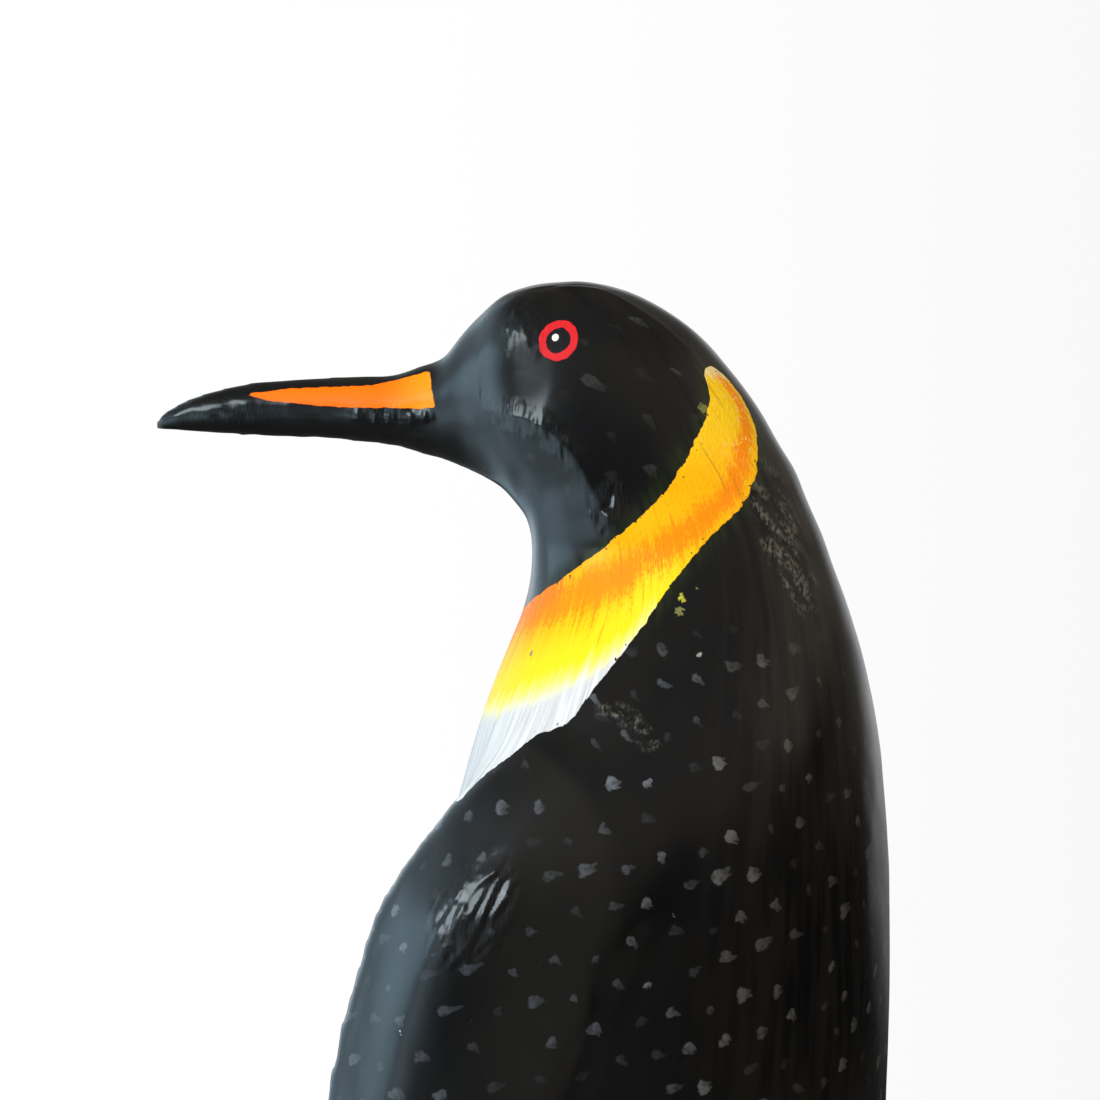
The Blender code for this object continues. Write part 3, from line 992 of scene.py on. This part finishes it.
def make_daubs():
    """Small daubs in staggered rows, each pressed on with a round brush that is then drawn aside.

    The place is divided into cells by the spacing, every second row half a cell along. In each,
    chance sets the daub's place, turn, size and strength. Its shape is a round or two-lobed head
    drawn out into a narrowing, fading tail, and a small noise makes its edge ragged.
    """
    group = bpy.data.node_groups.new("daubs", "ShaderNodeTree")
    for name, kind in (("Place", "Vector"), ("Spacing", "Float"), ("Size", "Float"), ("Turn", "Float")):
        group.interface.new_socket(name, in_out="INPUT", socket_type="NodeSocket" + kind)
    for name in ("Mask", "Strength"):
        group.interface.new_socket(name, in_out="OUTPUT", socket_type="NodeSocketFloat")
    given = group.nodes.new("NodeGroupInput").outputs
    parts = add(group, "ShaderNodeSeparateXYZ", Vector=given["Place"]).outputs
    row_place = maths(group, "DIVIDE", parts["Y"], given["Spacing"])
    row_place = maths(group, "MULTIPLY_ADD", parts["X"], 14.0, row_place)
    row = maths(group, "FLOOR", row_place)
    shift = product(group, maths(group, "FLOORED_MODULO", row, 2.0), 0.5)
    column_place = total(group, maths(group, "DIVIDE", parts["X"], given["Spacing"]), shift)
    column = maths(group, "FLOOR", column_place)
    cell = add(group, "ShaderNodeCombineXYZ", X=column, Y=row, Z=3.0).outputs[0]
    chance = add(group, "ShaderNodeTexWhiteNoise", {"noise_dimensions": "3D"}, Vector=cell)
    chance = chance.outputs["Color"]
    first, second, third = add(group, "ShaderNodeSeparateColor", Color=chance).outputs
    from_corner = add(
        group,
        "ShaderNodeCombineXYZ",
        X=maths(group, "SUBTRACT", column_place, column),
        Y=maths(group, "SUBTRACT", row_place, row),
    ).outputs[0]
    own_middle = vector(group, "MULTIPLY_ADD", chance, (0.34, 0.34, 0), (0.36, 0.36, 0))
    place = vector(group, "SUBTRACT", from_corner, own_middle)
    ragged = add(group, "ShaderNodeTexNoise", Vector=given["Place"], Scale=340.0, Detail=1.5)
    ragged = vector(
        group, "MULTIPLY_ADD", ragged.outputs["Color"], (0.0030, 0.0030, 0), (-0.0015, -0.0015, 0)
    )
    place = vector(group, "ADD", scaled(group, place, given["Spacing"]), ragged)
    turn = total(group, given["Turn"], maths(group, "MULTIPLY_ADD", third, 1.7, -0.85))
    place = add(group, "ShaderNodeVectorRotate", {"rotation_type": "Z_AXIS"}, Vector=place, Angle=turn)
    own_size = product(group, given["Size"], maths(group, "MULTIPLY_ADD", third, 0.45, 0.72))
    place = scaled(group, place.outputs[0], maths(group, "DIVIDE", 1.0, own_size))
    parts = add(group, "ShaderNodeSeparateXYZ", Vector=place).outputs
    drawn_out = maths(group, "MULTIPLY_ADD", second, 1.7, 0.7)
    along = maths(group, "MAXIMUM", maths(group, "DIVIDE", parts["X"], drawn_out), 0.0)
    along = maths(group, "MINIMUM", along, 1.0)
    ahead = maths(group, "SUBTRACT", parts["X"], product(group, along, drawn_out))
    lobes_apart = rise(group, first, 0.62, 0.80, 0.0, 0.42)
    aside = maths(group, "SUBTRACT", maths(group, "ABSOLUTE", parts["Y"]), lobes_apart)
    gap_place = add(group, "ShaderNodeCombineXYZ", X=ahead, Y=aside).outputs[0]
    gap = vector(group, "LENGTH", gap_place, result="Value")
    gap = maths(group, "DIVIDE", gap, maths(group, "MULTIPLY_ADD", along, -0.72, 1.0))
    present = maths(group, "GREATER_THAN", third, 0.06)
    strength = maths(group, "MULTIPLY_ADD", maths(group, "POWER", first, 1.8), 0.82, 0.10)
    strength = product(group, strength, maths(group, "MULTIPLY_ADD", along, -0.60, 1.0))
    leaving = group.nodes.new("NodeGroupOutput").inputs
    group.links.new(product(group, rise(group, gap, 1.08, 0.62), present), leaving["Mask"])
    group.links.new(strength, leaving["Strength"])
    return group


paint = bpy.data.materials.new("painted_wood")
paint.use_nodes = True
tree = paint.node_tree
shader = tree.nodes["Principled BSDF"]
place = add(tree, "ShaderNodeTexCoord").outputs["Object"]
place_parts = add(tree, "ShaderNodeSeparateXYZ", Vector=place).outputs


def layer_of(name, output="Fac"):
    """An attribute of the skin, as the shader reads it."""
    return add(tree, "ShaderNodeAttribute", {"attribute_name": name}).outputs[output]


rows_way = layer_of("rows", "Vector")
stroke_way = layer_of("stroke", "Vector")
rearward = add(tree, "ShaderNodeSeparateXYZ", Vector=stroke_way).outputs["Y"]
streaks = grain(tree, stroke_way, 0.0011, 3.0, (1, 1, 24))
wide_streaks = grain(tree, stroke_way, 0.0042, 2.0, (1, 1, 12))
streak_push = total(tree, streaks, wide_streaks, -1.0)
edge_waver = maths(tree, "MULTIPLY_ADD", grain(tree, place, 0.0042, 3.0), 0.0024, -0.0012)

# Black, a little brown at random, with a painted warm reflection in streaks at the back, a painted
# sheen on the flippers' rear facets, dust and painted glints in the nape's and the crest's cuts, and
# the grey daubs on it.
film = rise(tree, grain(tree, place, 0.05, 3.0), 0.40, 0.68)
# Browner in streaks towards the back, below the band: a painted warm reflection of the room behind.
painted_back_reflection = product(tree, rise(tree, rearward, 0.020, 0.066), rise(tree, wide_streaks, 0.35, 0.62))
painted_back_reflection = product(tree, painted_back_reflection, rise(tree, place_parts["Z"], 0.765, 0.700, 0.45, 1.0))
black = mixed(tree, film, (0.0046, 0.0046, 0.0050), (0.0066, 0.0061, 0.0052))
black = mixed(tree, painted_back_reflection, black, (0.0125, 0.0106, 0.0084))
fibres = grain(tree, place, 0.0012, 3.0, (1, 1, 3.5))
flecked = grain(tree, place, 0.0012, 3.0, (1, 1, 1.8))
# Brownish-white flecks on the raised cuts: dust on the nape, and painted glints on the nape and the
# crest.
dust_and_painted_glints = product(tree, layer_of("dust_and_glints"), rise(tree, flecked, 0.40, 0.64), 0.9)
black = mixed(tree, dust_and_painted_glints, black, (0.115, 0.102, 0.076))
on_flipper = rise(tree, layer_of("off_body"), 0.004, 0.006)
# A lighter, browner tone on each flipper's rear facet: a painted sheen.
painted_facet_sheen = product(tree, on_flipper, rise(tree, place_parts["Y"], -0.055, -0.005), 0.75)
black = mixed(tree, painted_facet_sheen, black, (0.0128, 0.0118, 0.0100))
DAUB_TOP = 0.668
DAUB_FOOT = 0.080
daubs = make_daubs()


def daubs_in_rows(spacing, turn):
    """The mask and strength of daubs, by their rows' spacing and the way that they are drawn out."""
    given = {"Place": rows_way, "Spacing": spacing, "Size": 0.0021, "Turn": turn}
    return add(tree, "ShaderNodeGroup", {"node_tree": daubs}, **given).outputs


rows_of_daubs = daubs_in_rows(0.0152, 2.6)
daub_zone = product(
    tree,
    rise(tree, place_parts["Z"], DAUB_TOP, DAUB_TOP - 0.03),
    rise(tree, place_parts["Z"], DAUB_FOOT, DAUB_FOOT + 0.04),
)
daub_mask = product(tree, rows_of_daubs["Mask"], daub_zone)
daub_wear = rise(tree, grain(tree, place, 0.0020, 2.0), 0.25, 0.60, 0.45, 1.0)
daub_cover = product(tree, daub_mask, daub_wear, rows_of_daubs["Strength"])
daub_cover = product(tree, daub_cover, maths(tree, "MULTIPLY_ADD", on_flipper, -0.35, 1.0))
# The daubs' grey turns bluish towards the front and brownish towards the back: a painted tint of the
# light falling there.
daub_grey_light_tinted = mixed(tree, rise(tree, rearward, 0.0, 0.06), (0.135, 0.146, 0.165), (0.112, 0.104, 0.092))
black = mixed(tree, daub_cover, black, daub_grey_light_tinted)
head_daubs = daubs_in_rows(0.0170, 1.4)
on_head = rise(tree, place_parts["Z"], 0.695, 0.715)
head_cover = product(tree, head_daubs["Mask"], head_daubs["Strength"], on_head, daub_wear, 0.45)
black = mixed(tree, head_cover, black, (0.060, 0.060, 0.052))

# Neck band and breast. A thin greenish glaze runs out past the band's edges on the black. The band
# has darker runs and small chips, and pale flecks where its upper end is thick: painted glints.
pale_depth = total(tree, layer_of("pale"), edge_waver)
pale_mask = rise(tree, pale_depth, -0.00012, 0.00018)
glaze = product(
    tree,
    rise(tree, pale_depth, -0.0075, -0.0005),
    rise(tree, wide_streaks, 0.30, 0.70),
    rise(tree, place_parts["Z"], 0.65, 0.67),
    0.6,
)
black = mixed(tree, glaze, black, (0.020, 0.030, 0.007))
band_end = total(tree, layer_of("yellow_end"), product(tree, streak_push, 0.012))
upper = rise(tree, place_parts["Z"], 0.715, 0.745)
band = mixed(tree, upper, (0.92, 0.43, 0.003), (0.92, 0.54, 0.008))
band = mixed(tree, rise(tree, band_end, 0.034, 0.012), band, (0.91, 0.63, 0.012))
flecks = maths(tree, "SUBTRACT", grain(tree, place, 0.0011, 2.0, (1, 1, 2)), 0.5)
push = total(tree, streak_push, product(tree, flecks, 1.1))
warm_share = total(tree, layer_of("warm"), push)
band = mixed(tree, rise(tree, warm_share, 0.25, 1.0), band, (0.92, 0.245, 0.003))
red_share = total(tree, layer_of("red"), push)
band = mixed(tree, rise(tree, red_share, 0.40, 1.20), band, (0.90, 0.19, 0.012))
band = mixed(tree, rise(tree, band_end, -0.002, 0.010), (0.86, 0.80, 0.26), band)
# Pale flecks in the band's upper part: painted glints.
painted_glints = product(tree, rise(tree, grain(tree, place, 0.0017, 2.0), 0.58, 0.64), upper, 0.55)
band = mixed(tree, product(tree, painted_glints, rise(tree, warm_share, -0.1, 0.5)), band, (0.95, 0.62, 0.25))
tip_height = total(tree, place_parts["Z"], product(tree, streak_push, 0.006))
band = mixed(tree, rise(tree, tip_height, 0.7585, 0.7630, 0.0, 0.7), band, (0.84, 0.74, 0.40))
runs = rise(tree, grain(tree, stroke_way, 0.0024, 1.0, (1, 1, 14)), 0.66, 0.74)
band = mixed(tree, product(tree, runs, 0.45), band, (0.36, 0.20, 0.006))
white_streaks = rise(tree, total(tree, streaks, product(tree, wide_streaks, 0.8)), 0.70, 1.10)
white = mixed(tree, white_streaks, (0.67, 0.67, 0.66), (0.48, 0.48, 0.49))
chips = product(
    tree,
    rise(tree, grain(tree, place, 0.0022, 1.0), 0.70, 0.74),
    rise(tree, layer_of("pale"), 0.0035, 0.0010),
)
pale_mask = product(tree, pale_mask, maths(tree, "SUBTRACT", 1.0, chips))
breast = mixed(tree, rise(tree, band_end, -0.004, 0.003), white, band)
colour = mixed(tree, pale_mask, black, breast)

# Marks left by chance: four yellow ones by the band, three pale specks on the black, and a brown
# speck on the band.
ragged_edge = maths(tree, "MULTIPLY_ADD", grain(tree, place, 0.0015, 2.0), 0.0036, -0.0018)
for x, y, z, radius, mark_colour in (
    (0.0290, 0.0340, 0.7475, 0.0019, (0.15, 0.145, 0.035)),
    (0.0536, 0.0323, 0.6728, 0.0015, (0.42, 0.40, 0.03)),
    (0.0516, 0.0372, 0.6775, 0.0012, (0.12, 0.12, 0.02)),
    (0.0560, 0.0318, 0.6672, 0.0019, (0.16, 0.155, 0.05)),
    (0.0981, 0.0417, 0.5525, 0.0008, (0.55, 0.55, 0.53)),
    (0.1135, -0.0655, 0.5034, 0.0009, (0.80, 0.80, 0.78)),
    (0.0643, 0.0426, 0.6511, 0.0009, (0.30, 0.29, 0.26)),
    (0.0545, -0.0299, 0.6495, 0.0010, (0.30, 0.22, 0.12)),
):
    off_mark = vector(tree, "MULTIPLY", vector(tree, "SUBTRACT", place, (x, y, z)), (1, 1, 0.6))
    mark_gap = total(tree, vector(tree, "LENGTH", off_mark, result="Value"), ragged_edge)
    colour = mixed(tree, rise(tree, mark_gap, radius, radius - 0.0005), colour, mark_colour)

# The orange stripe along the bill.
stripe_depth = total(tree, layer_of("stripe"), product(tree, edge_waver, 0.6))
stripe_mask = rise(tree, stripe_depth, -0.00012, 0.00018)
to_base = rise(tree, place_parts["Y"], -0.112, -0.084)
orange = mixed(tree, to_base, (0.92, 0.15, 0.003), (0.94, 0.28, 0.008))
colour = mixed(tree, stripe_mask, colour, orange)
coloured = maths(tree, "MAXIMUM", pale_mask, stripe_mask)

# The eyes: a red ring round a black one, and a white dot for the light in it.
EYE = (0.0, -0.0244, 0.7753)
on_side = maths(tree, "GREATER_THAN", maths(tree, "ABSOLUTE", place_parts["X"]), 0.02)
side_place = vector(tree, "MULTIPLY", place, (0.0, 1.0, 1.0))
eye_gap = vector(tree, "DISTANCE", side_place, EYE, result="Value")
eye_gap = total(tree, eye_gap, product(tree, edge_waver, 0.7))
light_place = (0.0, EYE[1] - 0.0014, EYE[2] + 0.0012)
light_gap = vector(tree, "DISTANCE", side_place, light_place, result="Value")
for gap, radius, eye_colour in (
    (eye_gap, 0.0084, (0.60, 0.018, 0.022)),
    (eye_gap, 0.0053, (0.010, 0.010, 0.011)),
    (light_gap, 0.0016, (0.86, 0.86, 0.82)),
):
    spot = product(tree, rise(tree, gap, radius, radius - 0.0003), on_side)
    colour = mixed(tree, spot, colour, eye_colour)
    coloured = maths(tree, "MAXIMUM", coloured, spot)
tree.links.new(colour, shader.inputs["Base Color"])

# Gloss and brush marks. The varnish lies thick on the black and thin on the colours, and it is
# rubbed dull under the brow and by the band's inner edge.
roughness = rise(tree, grain(tree, place, 0.018, 3.0), 0.30, 0.70, 0.30, 0.46)
tree.links.new(roughness, shader.inputs["Roughness"])
shader.inputs["Specular IOR Level"].default_value = 0.10
coat = maths(tree, "MULTIPLY_ADD", coloured, -0.78, 0.90)
for spot, radius, core, loss in (
    ((0, -0.038, 0.762), 0.019, 0.008, -0.76),
    ((0, -0.006, 0.686), 0.011, 0.006, -0.8),
):
    spot_gap = vector(tree, "DISTANCE", side_place, spot, result="Value")
    coat = total(tree, coat, product(tree, rise(tree, spot_gap, radius, core), on_side, loss))
coat = maths(tree, "MAXIMUM", coat, 0.10)
tree.links.new(coat, shader.inputs["Coat Weight"])
shader.inputs["Coat Roughness"].default_value = 0.14
pits = rise(tree, grain(tree, place, 0.0034, 0.0), 0.80, 0.84)
height = total(
    tree,
    product(tree, streaks, 0.30),
    product(tree, streaks, coloured, 1.8),
    product(tree, grain(tree, place, 0.0016, 2.0), 0.25),
    product(tree, flecks, coloured, 2.2),
    product(tree, grain(tree, place, 0.0060, 2.0), 0.90),
    product(tree, daub_mask, 0.25),
    product(tree, coloured, 0.35),
    product(tree, pits, -1.0),
)
height = total(tree, height, product(tree, layer_of("strokes"), fibres, 10.0))
height = total(tree, height, product(tree, layer_of("dust_and_glints"), flecked, 3.0))
bump = add(tree, "ShaderNodeBump", Height=height, Distance=0.0002, Strength=0.7)
tree.links.new(bump.outputs[0], shader.inputs["Normal"])

bird.data.materials.append(paint)
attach(bird, "root")
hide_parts("penguin_carving")
